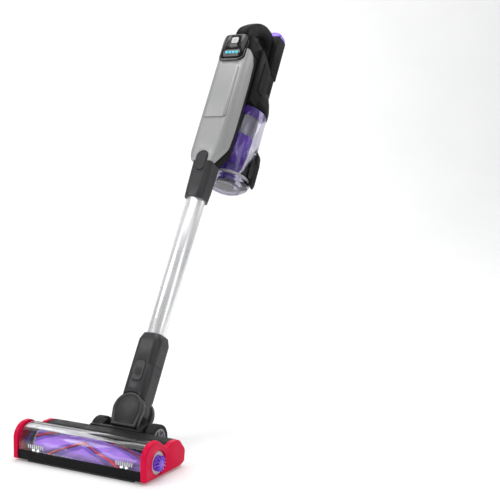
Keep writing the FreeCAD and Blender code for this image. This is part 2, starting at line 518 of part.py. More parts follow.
# motor housing: ring over the cup, flare, body with a slanted top
ringb = fuse(cylz(48.6, 0, CUP_V, 728, 742), cone(48.6, 44.6, 0, CUP_V, 742, 762))
body = pz([(-38.5, 29.2, 4), (38.5, 29.2, 4), (38.5, 96.2, 22), (-38.5, 96.2, 22)], 728, 860)
bcut = px([(29.0, 728), (29.0, 850), (34, 851), (54, 845, 4), (86.8, 824), (96.3, 824), (96.3, 728)], -50, 50)
body = body.common(bcut)
fl = cone(44.6, 38.6, 0, CUP_V, 762, 780)
mh = fuse(ringb, fl, body)
inn = fuse(cylz(45.6, 0, CUP_V, 727, 742), cone(45.6, 42.6, 0, CUP_V, 742, 757), pz([(-35.5, 32.0, 3), (35.5, 32.0, 3), (35.5, 93.6, 20), (-35.5, 93.6, 20)], 757 - 1, 860).common(
    px([(32, 740), (32, 847), (53, 842, 3), (86, 820.8), (93.6, 820.8), (93.6, 740)], -50, 50)))
mh = mh.cut(inn)
mh = mh.cut(pz(rect(25.7, 96.2, 160.0, .5, 12), 766.0, 900).cut(box(-60, 60, 90, 96.25, 700, 900)))
mh = mh.cut(px([(10, 700), (10, 740), (28.95, 740), (28.95, 900), (10, 900)], -60, 60))
add("motor_housing", mh, True)
# plain raised pad on each side of the housing
vc = []
for s in (-1, 1):
    c = px([(50, 762, 4), (84, 762, 4), (84, 818, 6), (80, 826, 5), (50, 838, 5)], 38.5, 40.0)
    c = c.cut(cylz(49.0, 0, CUP_V, 728, 742.1)).cut(cone(49.1, 45.0, 0, CUP_V, 742, 762)).cut(cone(45.1, 38.9, 0, CUP_V, 762, 780.4))
    c = fillet(c, .8, at(0, 40.0))
    if s < 0:
        c = c.mirror(V(0, 0, 0), V(1, 0, 0))
    vc.append(c)
add("housing_side_pads", Part.makeCompound(vc), True)

# battery bay: fixed lower part of the rear column
bay = pz(rect(25.5, 96.45, 134.0, .5, 12), 766.2, 841.6)
bay = bay.cut(pz(rect(22.6, 99.4, 131.0, .5, 9), 769, 845))
bay = bay.cut(px([(124.0, 820.4, 2), (140, 820.4, 0), (140, 834.6, 0), (124.0, 834.6, 2)], -8.4, 8.4))
boss = fuse(cylv(5.2, 0, 786, 123.5, 132), box(-5.2, 5.2, 123.5, 132, 768, 786))
bay = bay.fuse(boss).cut(cylv(2.75, 0, 786, 124.5, 136)).removeSplitter()
add("battery_bay", bay, True)
bb = px([(126.0, 821.0, 1.5), (138.2, 821.0, 2), (138.2, 834.0, 2), (126.0, 834.0, 1.5)], -8, 8)
bb = bb.cut(box(-6.8, 6.8, 120, 131.5, 822.4, 832.6))
add("battery_release_button", bb, True)

# suction motor and fan
sm = fuse(cylz(24.0, 0, 64, 778, 812), cylz(11.0, 0, 64, 812, 818))
sm = sm.cut(cylz(2.5 + RUN, 0, 64, 776, 800))
add("suction_motor", sm, True)
imp = fuse(cylz(22.0, 0, 64, 770.4, 771.8), cylz(2.5, 0, 64, 771.0, 799), cylz(6, 0, 64, 766.5, 771))
for k in range(9):
    bl = box(5, 21, 63.4, 64.6, 766.8, 770.8)
    bl.rotate(V(0, 64, 0), V(0, 0, 1), 40 * k)
    imp = imp.fuse(bl)
add("suction_fan", imp.removeSplitter(), True)

# ======================= BATTERY (stick frame) ===========================
bc = pz(rect(BATT_HALF, 97.0, 138.0, 3, 12), 842.0, BATT_TOP)
plug = pz(rect(22.2, 99.8, 122.0, 2, 2), 800.0, 842.2)
hollow = fuse(pz(rect(BATT_HALF - 2, 99.0, 136.0, 2, 10), 845.0, BATT_TOP + 1), pz(rect(20.2, 101.4, 120.4, 1, 1), 802.0, 846))
bc = fuse(bc, plug).cut(hollow)
for k in range(13):
    u0 = 850 + 6.4 * k
    bc = bc.cut(box(-13, 13, 137.2, 140, u0, u0 + 2.6))
add("battery_case", bc, True)
cp = pz(rect(BATT_HALF, 97.0, 138.0, 3, 12), BATT_TOP, 958.0)
cp = cp.common(px([(97.0, BATT_TOP), (97.0, 955.5, 14), (138.0, 955.5, 16), (138.0, BATT_TOP)], -30, 30))
cp = cp.common(pv([(-BATT_HALF, BATT_TOP), (BATT_HALF, BATT_TOP), (BATT_HALF, 956.0, 17), (-BATT_HALF, 956.0, 17)], 90, 145))
add("battery_cap", cp, True)
cells = []
for x in (-9.5, 9.5):
    for v in (108.2, 126.6):
        cells.append(cylz(9.0, x, v, 868.4, 933.4))
    cells.append(cylz(9.0, x, 110.9, 802.6, 867.6))
add("battery_cells", Part.makeCompound(cells), True)

# ======================= DUST CUP (stick frame) ==========================
cup = cylz(CUP_R, 0, CUP_V, CUP_LOW, CUP_TOP).cut(cylz(CUP_R - 2.2, 0, CUP_V, CUP_LOW - 1, CUP_TOP + 1))
HA = math.radians(172)      # lid hinge, on the left
LA = math.radians(12)       # lid latch, on the right


def polar(s, ang, lo=0.0):
    s = s.copy()
    s.rotate(V(0, 0, 0), V(0, 0, 1), math.degrees(ang))
    s.translate(V(0, CUP_V, 0))
    return s


# hinge lugs (built on the +x side, then turned into place)
HR = CUP_R + 6.2
HUu = 567.5
lug_prof = [(CUP_R - 1.2, 570.6), (CUP_R - 1.2, 586), (HR + 3.4, 573.5), (HR + 3.4, HUu), (HR - 3.4, HUu), (HR - 3.4, 570.6)]
lug = None
for y in (-12.0, 7.2):
    w = rwire(lug_prof, lambda a, b: V(a, y, b))
    q = fuse(Part.Face(w).extrude(V(0, 4.8, 0)), cyl(3.4, (HR, y, HUu), (0, 1, 0), 4.8))
    lug = q if lug is None else lug.fuse(q)
lug = lug.cut(cyl(1.5, (HR, -20, HUu), (0, 1, 0), 40))
lug = lug.cut(cylz(CUP_R - 1.0, 0, 0, 500, 700))
cup = cup.fuse(polar(lug, HA)).removeSplitter()
# latch pivot ears on the right
LPU = 628.0
lear = fuse(box(CUP_R - 1.2, CUP_R + 5.6, -15.2, -12.5, LPU - 7, LPU + 7), box(CUP_R - 1.2, CUP_R + 5.6, 12.5, 15.2, LPU - 7, LPU + 7))
lear = lear.cut(cyl(1.5, (CUP_R + 3.0, -20, LPU), (0, 1, 0), 40)).cut(cylz(CUP_R - 1.0, 0, 0, 500, 700))
cup = cup.fuse(polar(lear, LA)).removeSplitter()
add("cup_wall", cup, True)
add("cup_pins", Part.makeCompound([polar(cyl(1.5, (HR, -12.0, HUu), (0, 1, 0), 24.0), HA),
                                   polar(cyl(1.5, (CUP_R + 3.0, -15.2, LPU), (0, 1, 0), 30.4), LA)]), True)

# inlet duct that flares to the bottom, cyclone skirt and hood, mesh between them
DV = 88.0
du = fuse(cone(19.5, 16.0, 0, DV, 572.0, 584), cylz(16.0, 0, DV, 584, 640))
du = du.cut(cone(17.3, 13.8, 0, DV, 571.9, 584)).cut(cylz(13.8, 0, DV, 583.9, 641))
add("inlet_duct", du, True)
cy = fuse(cylz(44.8, 0, CUP_V, 724.5, 727.6), cone(31.0, 44.4, 0, CUP_V, 711.5, 724.5), cylz(30.5, 0, CUP_V, 616, 668), cone(24.0, 30.5, 0, CUP_V, 611, 616))
cy = fuse(cy, cylz(24.6, 0, CUP_V, 668, 711.5))
cy = cy.cut(cylz(22.6, 0, CUP_V, 634, 730)).cut(cylz(16.4, 0, DV, 605, 640.5))
add("cyclone_body", cy, True)
ms = cylz(29.6, 0, CUP_V, 668.2, 711.3).cut(cylz(28.2, 0, CUP_V, 668, 712))
add("mesh_screen", ms, True)
pf = cylz(34, 0, CUP_V, 727.8, 752)
for k in range(24):
    g = box(29.5, 36, CUP_V * 0 - 1.2, 1.2, 729.5, 750)
    g.rotate(V(0, 0, 0), V(0, 0, 1), 15 * k)
    g.translate(V(0, CUP_V, 0))
    pf = pf.cut(g)
pf = pf.cut(cylz(18, 0, CUP_V, 727, 748))
add("pleated_filter", pf, True)

# ======================= LID and LATCH ===================================
def revolve(pts):
    """Profile of (radius, u, corner radius) turned about the cup's axis."""
    w = rwire(pts, lambda a, b: V(a, 0, b))
    r = Part.Face(w).revolve(V(0, 0, 0), V(0, 0, 1), 360)
    r.translate(V(0, CUP_V, 0))
    return r


lid = revolve([(0, LID_LOW), (36, LID_LOW, 16), (46.6, 557.5, 8), (48.6, 563.6, 2), (48.6, CUP_LOW - .4, .8), (CUP_R - 2.6, CUP_LOW - .4), (CUP_R - 2.6, 562.5, 6),
               (41.5, 554.5, 6), (34, LID_LOW + 2.6, 12), (0, LID_LOW + 2.6)])
kn = fuse(box(CUP_R - 3.0, HR, -6.8, 6.8, HUu - 3.4, HUu + 2.0), cyl(3.4, (HR, -6.8, HUu), (0, 1, 0), 13.6))
kn = kn.cut(cyl(1.5 + RUN, (HR, -20, HUu), (0, 1, 0), 40)).cut(cylz(CUP_R - 2.2, 0, 0, 500, 700))
lid = lid.fuse(polar(kn, HA))
# catch lip for the latch
lip = box(CUP_R - .5, CUP_R + 3.2, -8, 8, 564.6, 567.8)
lid = lid.fuse(polar(lip, LA)).removeSplitter()
add("cup_lid", lid, True)
LO = CUP_R + 10.4           # outer face of the latch
lw = rwire([(CUP_R + 4.2, 559.5, .6), (CUP_R + 7.6, 557.5, 1.2), (LO, 566, 3), (LO, 612, 4), (CUP_R + 8.4, 630, 3), (CUP_R + 6.6, 635, 1.2), (CUP_R + 3.6, 635, .6),
            (CUP_R + 3.6, 600)], lambda a, b: V(a, -12.0, b))
lt = polar(fuse(Part.Face(lw).extrude(V(0, 24.0, 0)), cyl(2.5, (CUP_R + 3.0, -12.0, LPU), (0, 1, 0), 24.0)), LA)
lt = lt.cut(polar(cyl(1.5 + RUN, (CUP_R + 3.0, -20, LPU), (0, 1, 0), 40), LA))
for k in range(8):
    lt = lt.cut(polar(box(LO - .9, LO + 2, -9.5, 9.5, 570 + 5.2 * k, 572.2 + 5.2 * k), LA))
add("lid_latch", lt, True)

# ---- write ---------------------------------------------------------------
os.makedirs("parts", exist_ok=True)
for n, s in PARTS.items():
    ok = s.isValid()
    s.exportStep("parts/" + n + ".step")
    print("%-24s solids %2d valid %s vol %.1f cm3" % (n, len(s.Solids), ok, s.Volume / 1000.0))
print(len(PARTS), "nodes; axle in the stick frame v %.3f u %.3f" % (AX_V, AX_U))
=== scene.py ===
import math
import random

import bmesh
import bpy
import numpy as np
from mathutils import Matrix, Vector


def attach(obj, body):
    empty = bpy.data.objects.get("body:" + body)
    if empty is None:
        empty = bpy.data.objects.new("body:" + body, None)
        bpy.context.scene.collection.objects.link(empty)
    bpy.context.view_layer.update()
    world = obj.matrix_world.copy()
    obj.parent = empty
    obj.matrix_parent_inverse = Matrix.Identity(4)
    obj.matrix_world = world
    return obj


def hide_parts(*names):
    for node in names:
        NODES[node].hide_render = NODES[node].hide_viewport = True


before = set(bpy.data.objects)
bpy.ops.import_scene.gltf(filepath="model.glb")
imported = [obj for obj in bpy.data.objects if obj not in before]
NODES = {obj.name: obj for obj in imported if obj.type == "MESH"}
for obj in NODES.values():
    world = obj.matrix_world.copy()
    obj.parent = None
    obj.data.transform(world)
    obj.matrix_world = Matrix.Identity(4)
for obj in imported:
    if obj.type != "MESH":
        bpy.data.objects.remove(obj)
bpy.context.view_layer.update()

random.seed(7)
scene = bpy.context.scene

# ---------------------------------------------------------------- camera
A, E, DIST = math.radians(35.7), math.radians(2.98), 1.72029
T0 = Vector((0.0, 0.060, 0.450))
b = Vector((math.sin(A) * math.cos(E), -math.cos(A) * math.cos(E), math.sin(E)))
r = Vector((math.cos(A), math.sin(A), 0.0))
up = b.cross(r)
CAM = T0 + b * DIST
P, TL = math.radians(-7.59), math.radians(2.78)
b, r = math.cos(P) * b + math.sin(P) * r, math.cos(P) * r - math.sin(P) * b
b, up = math.cos(TL) * b + math.sin(TL) * up, math.cos(TL) * up - math.sin(TL) * b
cd = bpy.data.cameras.new("camera")
cd.lens = 69.48
cd.sensor_width = 36.0
cd.clip_start = 0.05
cd.clip_end = 60
cam = bpy.data.objects.new("camera", cd)
cam.matrix_world = Matrix(((r.x, up.x, b.x, CAM.x), (r.y, up.y, b.y, CAM.y), (r.z, up.z, b.z, CAM.z), (0, 0, 0, 1)))
scene.collection.objects.link(cam)
scene.camera = cam

# ---------------------------------------------------------------- stick frame
LEAN = math.radians(29.8)
SN, CS = math.sin(LEAN), math.cos(LEAN)


def W(x, v, u):
    """A point of the stick's own frame, in millimetres, to the row frame in metres."""
    return Vector((x, 78.45 + v * CS + u * SN, 34.9 - v * SN + u * CS)) / 1000.0


def H(x, y, z):
    return Vector((x, y, z)) / 1000.0


# ---------------------------------------------------------------- materials
def new_mat(name):
    m = bpy.data.materials.new(name)
    m.use_nodes = True
    nt = m.node_tree
    nt.nodes.clear()
    out = nt.nodes.new("ShaderNodeOutputMaterial")
    bs = nt.nodes.new("ShaderNodeBsdfPrincipled")
    nt.links.new(bs.outputs[0], out.inputs[0])
    return m, nt, bs, out


def coords(nt, scale=(1, 1, 1), rot=(0, 0, 0)):
    tc = nt.nodes.new("ShaderNodeTexCoord")
    mp = nt.nodes.new("ShaderNodeMapping")
    mp.inputs["Scale"].default_value = scale
    mp.inputs["Rotation"].default_value = rot
    nt.links.new(tc.outputs["Object"], mp.inputs["Vector"])
    return mp.outputs["Vector"]


def noise(nt, vec, scale, detail=3.0, rough=0.5):
    n = nt.nodes.new("ShaderNodeTexNoise")
    n.inputs["Scale"].default_value = scale
    n.inputs["Detail"].default_value = detail
    n.inputs["Roughness"].default_value = rough
    nt.links.new(vec, n.inputs["Vector"])
    return n.outputs["Fac"]


def ramp(nt, fac, stops):
    rp = nt.nodes.new("ShaderNodeValToRGB")
    el = rp.color_ramp.elements
    el[0].position, el[0].color = stops[0][0], (*stops[0][1], 1)
    el[1].position, el[1].color = stops[-1][0], (*stops[-1][1], 1)
    for p, c in stops[1:-1]:
        e = el.new(p)
        e.color = (*c, 1)
    nt.links.new(fac, rp.inputs["Fac"])
    return rp.outputs["Color"]


def rng(nt, fac, lo, hi, a=0.3, z=0.7):
    mr = nt.nodes.new("ShaderNodeMapRange")
    mr.inputs["From Min"].default_value = a
    mr.inputs["From Max"].default_value = z
    mr.inputs["To Min"].default_value = lo
    mr.inputs["To Max"].default_value = hi
    nt.links.new(fac, mr.inputs["Value"])
    return mr.outputs[0]


def bump(nt, bs, height, strength, dist, extra=None):
    bp = nt.nodes.new("ShaderNodeBump")
    bp.inputs["Strength"].default_value = strength
    bp.inputs["Distance"].default_value = dist
    nt.links.new(height, bp.inputs["Height"])
    if extra is not None:
        nt.links.new(extra, bp.inputs["Normal"])
    nt.links.new(bp.outputs[0], bs.inputs["Normal"])
    return bp.outputs[0]


def tint(c, k):
    return tuple(min(1.0, max(0.0, q * k)) for q in c)


def plastic(name, col, rough=0.4, grain=2600.0, strength=0.06, spread=0.08, vary=0.12, coat=0.0, metallic=0.0, spec=0.5, flake=0.0, coat_rough=0.08):
    """Moulded plastic: fine spark texture, patches of gloss, a slight change of shade."""
    m, nt, bs, out = new_mat(name)
    v = coords(nt)
    big = noise(nt, v, 9.0, 4.0)
    fine = noise(nt, v, grain, 2.0)
    if flake > 0:
        fl = nt.nodes.new("ShaderNodeTexVoronoi")
        fl.inputs["Scale"].default_value = 5200.0
        nt.links.new(v, fl.inputs["Vector"])
        mixf = nt.nodes.new("ShaderNodeMix")
        mixf.data_type = "RGBA"
        base = ramp(nt, big, [(0.25, tint(col, 1 - vary)), (0.75, tint(col, 1 + vary))])
        mixf.inputs["Factor"].default_value = flake
        nt.links.new(base, mixf.inputs[6])
        spark = ramp(nt, fl.outputs["Color"], [(0.2, tint(col, 0.75)), (0.8, tint(col, 1.4))])
        nt.links.new(spark, mixf.inputs[7])
        nt.links.new(mixf.outputs[2], bs.inputs["Base Color"])
    else:
        nt.links.new(ramp(nt, big, [(0.25, tint(col, 1 - vary)), (0.75, tint(col, 1 + vary))]), bs.inputs["Base Color"])
    mid = noise(nt, v, 60.0, 4.0)
    nt.links.new(rng(nt, mid, max(0.02, rough - spread), min(1, rough + spread)), bs.inputs["Roughness"])
    bs.inputs["Metallic"].default_value = metallic
    bs.inputs["Specular IOR Level"].default_value = spec
    bs.inputs["Coat Weight"].default_value = coat
    bs.inputs["Coat Roughness"].default_value = coat_rough
    bump(nt, bs, fine, strength, 0.0004)
    return m


def brushed(name, col, rough=0.3, axis_rot=(0, 0, 0), stretch=(900, 900, 12), strength=0.05, metallic=1.0, spread=0.07):
    """Drawn or turned metal: fine lines along one direction."""
    m, nt, bs, out = new_mat(name)
    v = coords(nt, stretch, axis_rot)
    ln = noise(nt, v, 1.0, 4.0, 0.6)
    v2 = coords(nt)
    big = noise(nt, v2, 14.0, 3.0)
    nt.links.new(ramp(nt, ln, [(0.3, tint(col, 0.92)), (0.7, tint(col, 1.06))]), bs.inputs["Base Color"])
    nt.links.new(rng(nt, big, rough - spread, rough + spread), bs.inputs["Roughness"])
    bs.inputs["Metallic"].default_value = metallic
    bump(nt, bs, ln, strength, 0.0002)
    return m


def clear(name, col, rough=0.03, ior=1.49, body=None, haze=0.0, shadow=0.85):
    """Clear moulded plastic that lets lamps through; body is not used."""
    m, nt, bs, out = new_mat(name)
    v = coords(nt)
    n = noise(nt, v, 22.0, 3.0)
    nt.links.new(ramp(nt, n, [(0.2, tint(col, 0.97)), (0.8, tint(col, 1.02))]), bs.inputs["Base Color"])
    nt.links.new(rng(nt, noise(nt, v, 90.0), rough, rough + 0.03), bs.inputs["Roughness"])
    bs.inputs["Transmission Weight"].default_value = 1.0 - haze
    bs.inputs["IOR"].default_value = ior
    bump(nt, bs, noise(nt, v, 35.0, 2.0), 0.02, 0.0006)
    lp = nt.nodes.new("ShaderNodeLightPath")
    tr = nt.nodes.new("ShaderNodeBsdfTransparent")
    tr.inputs[0].default_value = (*tint(col, shadow), 1)
    mx = nt.nodes.new("ShaderNodeMixShader")
    nt.links.new(lp.outputs["Is Shadow Ray"], mx.inputs[0])
    nt.links.new(bs.outputs[0], mx.inputs[1])
    nt.links.new(tr.outputs[0], mx.inputs[2])
    nt.links.new(mx.outputs[0], out.inputs[0])
    return m


def glow(name, col, strength):
    m, nt, bs, out = new_mat(name)
    v = coords(nt)
    n = noise(nt, v, 400.0, 2.0)
    nt.links.new(ramp(nt, n, [(0.3, tint(col, 0.85)), (0.7, col)]), bs.inputs["Base Color"])
    bs.inputs["Emission Color"].default_value = (*col, 1)
    bs.inputs["Emission Strength"].default_value = strength
    bs.inputs["Roughness"].default_value = 0.35
    bump(nt, bs, n, 0.05, 0.0003)
    return m


def fabric(name, col, scale=900.0, rough=0.95, strength=0.5, sheen=0.4):
    m, nt, bs, out = new_mat(name)
    v = coords(nt)
    n = noise(nt, v, scale, 3.0, 0.7)
    big = noise(nt, v, 40.0, 3.0)
    mixc = nt.nodes.new("ShaderNodeMix")
    mixc.data_type = "RGBA"
    mixc.blend_type = "MULTIPLY"
    mixc.inputs["Factor"].default_value = 0.6
    nt.links.new(ramp(nt, big, [(0.3, tint(col, 0.85)), (0.7, tint(col, 1.15))]), mixc.inputs[6])
    nt.links.new(ramp(nt, n, [(0.3, (0.55, 0.55, 0.55)), (0.7, (1.2, 1.2, 1.2))]), mixc.inputs[7])
    nt.links.new(mixc.outputs[2], bs.inputs["Base Color"])
    bs.inputs["Roughness"].default_value = rough
    bs.inputs["Sheen Weight"].default_value = sheen
    bump(nt, bs, n, strength, 0.0008)
    return m


M = {}
M["pink"] = plastic("pink_gloss", (0.66, 0.002, 0.048), 0.38, strength=0.015, coat=0.03, vary=0.06, spread=0.05, spec=0.08)
M["black"] = plastic("black_satin", (0.010, 0.010, 0.0104), 0.46, strength=0.05, vary=0.15, spec=0.06)
M["black_soft"] = plastic("black_soft", (0.010, 0.010, 0.0105), 0.6, grain=1500.0, strength=0.2, vary=0.15, spec=0.08)
M["dark"] = plastic("dark_grey", (0.014, 0.014, 0.0145), 0.46, strength=0.05, spec=0.08)
M["dark_metal"] = plastic("dark_grey_metallic", (0.036, 0.036, 0.038), 0.42, strength=0.015, metallic=0.1, coat=0.04, vary=0.07, spec=0.3)
M["silver"] = plastic("silver_grey", (0.335, 0.335, 0.337), 0.47, strength=0.010, metallic=0.40, coat=0.05, vary=0.03, spec=0.4)
M["clear"] = clear("clear", (0.97, 0.975, 0.985))
M["clear_cup"] = clear("clear_cup", (0.73, 0.72, 0.78), rough=0.02)
M["smoky"] = clear("smoky_clear", (0.49, 0.47, 0.57), rough=0.04, shadow=0.7)
M["purple"] = plastic("purple_gloss", (0.17, 0.045, 0.60), 0.30, strength=0.015, coat=0.5, metallic=0.05)
M["cap_purple"] = plastic("cap_purple", (0.20, 0.055, 0.72), 0.34, strength=0.02, coat=0.3, vary=0.07)
# inlet duct: purple plastic, lightened and greyed by a painted reflection of a soft light on the clear cup wall
M["lavender"] = plastic("lavender", (0.24, 0.19, 0.50), 0.34, strength=0.02, vary=0.07, coat=0.3)
M["gloss_black"] = plastic("gloss_black", (0.003, 0.003, 0.0035), 0.13, strength=0.005, coat=0.15, spread=0.03, coat_rough=0.05, spec=0.3)
M["white"] = plastic("white_plastic", (0.60, 0.60, 0.615), 0.42, strength=0.03, vary=0.04)
M["line_grey"] = plastic("line_grey", (0.36, 0.37, 0.38), 0.45, strength=0.02, vary=0.06)
M["icon_grey"] = plastic("icon_grey", (0.10, 0.10, 0.105), 0.45, strength=0.02, vary=0.08)
M["rim_grey"] = plastic("rim_grey", (0.34, 0.33, 0.37), 0.28, strength=0.02, vary=0.06, coat=0.3)
# light grey band: painted highlight along the top edge of the brush window
M["band"] = plastic("window_painted_highlight_band", (0.42, 0.42, 0.43), 0.35, strength=0.03, vary=0.08, coat=0.2)
M["led_bed"] = plastic("led_bed", (0.01, 0.025, 0.035), 0.2, strength=0.01, coat=0.4, vary=0.1)
M["led"] = glow("led_cyan", (0.06, 0.52, 0.66), 0.45)
M["led_white"] = glow("led_white", (0.95, 0.97, 1.0), 2.2)
M["nap"] = fabric("nap_violet", (0.46, 0.22, 1.0), 1500.0, strength=0.6, sheen=0.3)
# the next two are darker copies of the violet nap: painted shade in the grooves beside the bristle strips
M["nap_half_shade"] = fabric("nap_half_shade", (0.22, 0.10, 0.62), 1500.0, strength=0.6, sheen=0.25)
M["nap_dark"] = fabric("nap_painted_shade", (0.035, 0.020, 0.13), 1500.0, strength=0.6, sheen=0.15)
M["felt"] = fabric("felt", (0.03, 0.03, 0.03), 900.0)
M["rubber"] = plastic("rubber", (0.012, 0.012, 0.012), 0.72, grain=1200.0, strength=0.2, spec=0.3)
M["tube"] = brushed("wand_aluminium", (0.93, 0.93, 0.935), 0.30, axis_rot=(LEAN, 0, 0), stretch=(1400, 1400, 14), strength=0.015, metallic=0.7)
M["steel"] = brushed("steel", (0.6, 0.6, 0.62), 0.28, stretch=(16, 700, 700))
M["can"] = brushed("motor_can", (0.5, 0.5, 0.52), 0.35, stretch=(500, 500, 30))
M["cell"] = plastic("cell_wrap", (0.05, 0.12, 0.35), 0.35, coat=0.3)
M["paper"] = fabric("filter_paper", (0.7, 0.7, 0.68), 700.0, sheen=0.1)
M["bristle"] = fabric("bristle_red", (0.95, 0.02, 0.06), 1800.0, rough=0.6, strength=0.4, sheen=0.2)
M["frost"] = plastic("frosted_grey", (0.20, 0.20, 0.215), 0.3, coat=0.2)
M["lens"] = glow("lens_rib", (0.62, 0.63, 0.66), 0.18)

# punched screen: dark holes in a grey sheet
m, nt, bs, out = new_mat("mesh_metal")
tc = nt.nodes.new("ShaderNodeTexCoord")
vor = nt.nodes.new("ShaderNodeTexVoronoi")
vor.inputs["Scale"].default_value = 620.0
vor.inputs["Randomness"].default_value = 0.0
nt.links.new(tc.outputs["Object"], vor.inputs["Vector"])
nt.links.new(ramp(nt, vor.outputs["Distance"], [(0.30, (0.03, 0.03, 0.04)), (0.42, (0.42, 0.42, 0.45))]), bs.inputs["Base Color"])
bs.inputs["Metallic"].default_value = 0.8
bs.inputs["Roughness"].default_value = 0.35
bump(nt, bs, vor.outputs["Distance"], 0.4, 0.0004)
M["mesh"] = m

LOOK = {
    "head_base": "dark", "head_top_cover": "dark", "end_cap_left": "pink", "end_cap_right": "pink", "front_bumper": "black",
    "brush_window": "clear", "headlight_leds": "led_white", "headlight_lenses": "frost", "brush_motor": "can", "drive_belt": "rubber",
    "felt_strips": "felt", "sole_screws": "steel", "brush_end_bearing": "white", "pitch_axle": "steel", "brush_core": "purple",
    "brush_nap": "nap", "brush_end_knob": "purple", "motor_pulley": "white", "wheel_hub_left": "frost", "wheel_hub_right": "frost",
    "wheel_tyre_left": "rubber", "wheel_tyre_right": "rubber", "yoke_frame": "black", "yoke_cover": "dark_metal",
    "yoke_rear_cover": "dark_metal", "swivel_pins": "steel", "lower_socket": "dark_metal", "socket_release_button": "dark_metal",
    "wand_tube": "tube", "wand_lower_insert": "black", "upper_collar": "dark_metal", "collar_release_button": "dark_metal",
    "front_shell": "silver", "front_panel": "silver", "spine_frame": "black", "inlet_nozzle": "black", "head_shell": "black",
    "display_panel": "gloss_black", "light_strip": "led_bed", "handle_loop": "black", "motor_housing": "black", "housing_side_pads": "dark",
    "battery_bay": "black", "suction_motor": "can", "power_button": "white", "suction_fan": "white", "battery_case": "black",
    "battery_cap": "cap_purple", "battery_cells": "cell", "battery_release_button": "dark", "cup_wall": "clear_cup", "cup_pins": "steel",
    "inlet_duct": "lavender", "cyclone_body": "purple", "mesh_screen": "mesh", "pleated_filter": "paper", "cup_release_button": "purple",
    "cup_lid": "smoky", "lid_latch": "black_soft",
}
SEG = {"front_panel": 4}
BEV = {"end_cap_left": 0.8, "end_cap_right": 0.8, "head_shell": 1.2, "brush_window": 0.25, "cup_wall": 0.2, "cup_lid": 0.3, "wand_tube": 0.2, "mesh_screen": 0.1, "headlight_leds": 0.1,
       "light_strip": 0.2, "front_panel": 1.3, "display_panel": 0.35, "sole_screws": 0.1, "cup_pins": 0.1}


def finish_cad(name, mat, width):
    o = NODES[name]
    if not o.material_slots:
        o.data.materials.append(mat)
    for s in o.material_slots:
        s.link = "OBJECT"
        s.material = mat
    wd = o.modifiers.new("weld", "WELD")
    wd.merge_threshold = 0.00002
    bv = o.modifiers.new("bevel", "BEVEL")
    bv.width = width / 1000.0
    bv.segments = SEG.get(name, 2)
    bv.limit_method = "ANGLE"
    bv.angle_limit = math.radians(32)
    bv.harden_normals = True
    bv.use_clamp_overlap = True
    for p in o.data.polygons:
        p.use_smooth = True


for n, k in LOOK.items():
    finish_cad(n, M[k], BEV.get(n, 0.5))

# ---------------------------------------------------------------- mesh helpers
def mesh_obj(name, verts, faces, mat, body, smooth=True, mats=None, idx=None):
    me = bpy.data.meshes.new(name)
    me.from_pydata([tuple(v) for v in verts], [], faces)
    me.validate()
    o = bpy.data.objects.new(name, me)
    scene.collection.objects.link(o)
    for mm in (mats or [mat]):
        me.materials.append(mm)
    if idx is not None:
        for p, i in zip(me.polygons, idx):
            p.material_index = i
    for p in me.polygons:
        p.use_smooth = smooth
    bm = bmesh.new()
    bm.from_mesh(me)
    bmesh.ops.recalc_face_normals(bm, faces=bm.faces)
    bm.to_mesh(me)
    bm.free()
    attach(o, body)
    return o


def rings(name, rows, mat, body, closed=False, caps=True, mats=None, pick=None, smooth=True):
    """A skin through loops of points; closed joins the last loop to the first."""
    n, m = len(rows[0]), len(rows)
    verts = [p for q in rows for p in q]
    faces, idx = [], []
    for i in range(m if closed else m - 1):
        for j in range(n):
            k, i2 = (j + 1) % n, (i + 1) % m
            faces.append((i * n + j, i * n + k, i2 * n + k, i2 * n + j))
            idx.append(pick(i, j) if pick else 0)
    if caps and not closed:
        for q in (0, m - 1):
            c = sum((Vector(p) for p in rows[q]), Vector()) / n
            verts.append(c)
            for j in range(n):
                faces.append((q * n + j, q * n + (j + 1) % n, len(verts) - 1))
                idx.append(pick(min(q, m - 2), j) if pick else 0)
    o = mesh_obj(name, verts, faces, mat, body, smooth, mats, idx)
    return o


def pipe(name, pts, rad, mat, body, closed=False, seg=8):
    """A round bead along a run of points."""
    pts = [Vector(p) for p in pts]
    n = len(pts)
    rows = []
    ref = (pts[1] - pts[0]).normalized().orthogonal()
    for i, p in enumerate(pts):
        a, c = pts[(i - 1) % n if closed else max(i - 1, 0)], pts[(i + 1) % n if closed else min(i + 1, n - 1)]
        t = (c - a).normalized()
        ref = (ref - t * ref.dot(t)).normalized()
        bn = t.cross(ref)
        rows.append([p + (ref * math.cos(2 * math.pi * j / seg) + bn * math.sin(2 * math.pi * j / seg)) * rad / 1000.0 for j in range(seg)])
    return rings(name, rows, mat, body, closed=closed)


def turned(name, prof, mat, body, axis_v=91.0, n=128, a0=0.0, a1=360.0):
    """A closed profile of (radius, u) turned about the cup's axis."""
    full = a1 - a0 >= 360.0
    k = n if full else n + 1
    rows = []
    for i in range(k):
        t = math.radians(a0 + (a1 - a0) * i / n)
        rows.append([W(q * math.cos(t), axis_v + q * math.sin(t), u) for q, u in prof])
    o = rings(name, rows, mat, body, closed=full)
    soften(o, 0.25, 35)
    return o


def soften(o, width, angle=35, seg=2):
    bv = o.modifiers.new("bevel", "BEVEL")
    bv.width = width / 1000.0
    bv.segments = seg
    bv.limit_method = "ANGLE"
    bv.angle_limit = math.radians(angle)
    bv.harden_normals = True
    return o


def slab(name, outline, place, t, mat, body, width=0.25):
    """A flat plate: outline of (a, b), place(a, b, depth) to the row frame, t thick."""
    rows = [[place(a, c, d) for a, c in outline] for d in (0.0, t)]
    o = rings(name, rows, mat, body, smooth=True)
    return soften(o, width, 40)


def rounded(cx, cy, hw, hh, rad, n=6):
    pts = []
    for sx, sy, a in ((1, 1, 0), (-1, 1, 90), (-1, -1, 180), (1, -1, 270)):
        for k in range(n + 1):
            t = math.radians(a + 90.0 * k / n)
            pts.append((cx + sx * (hw - rad) + rad * math.cos(t), cy + sy * (hh - rad) + rad * math.sin(t)))
    return pts


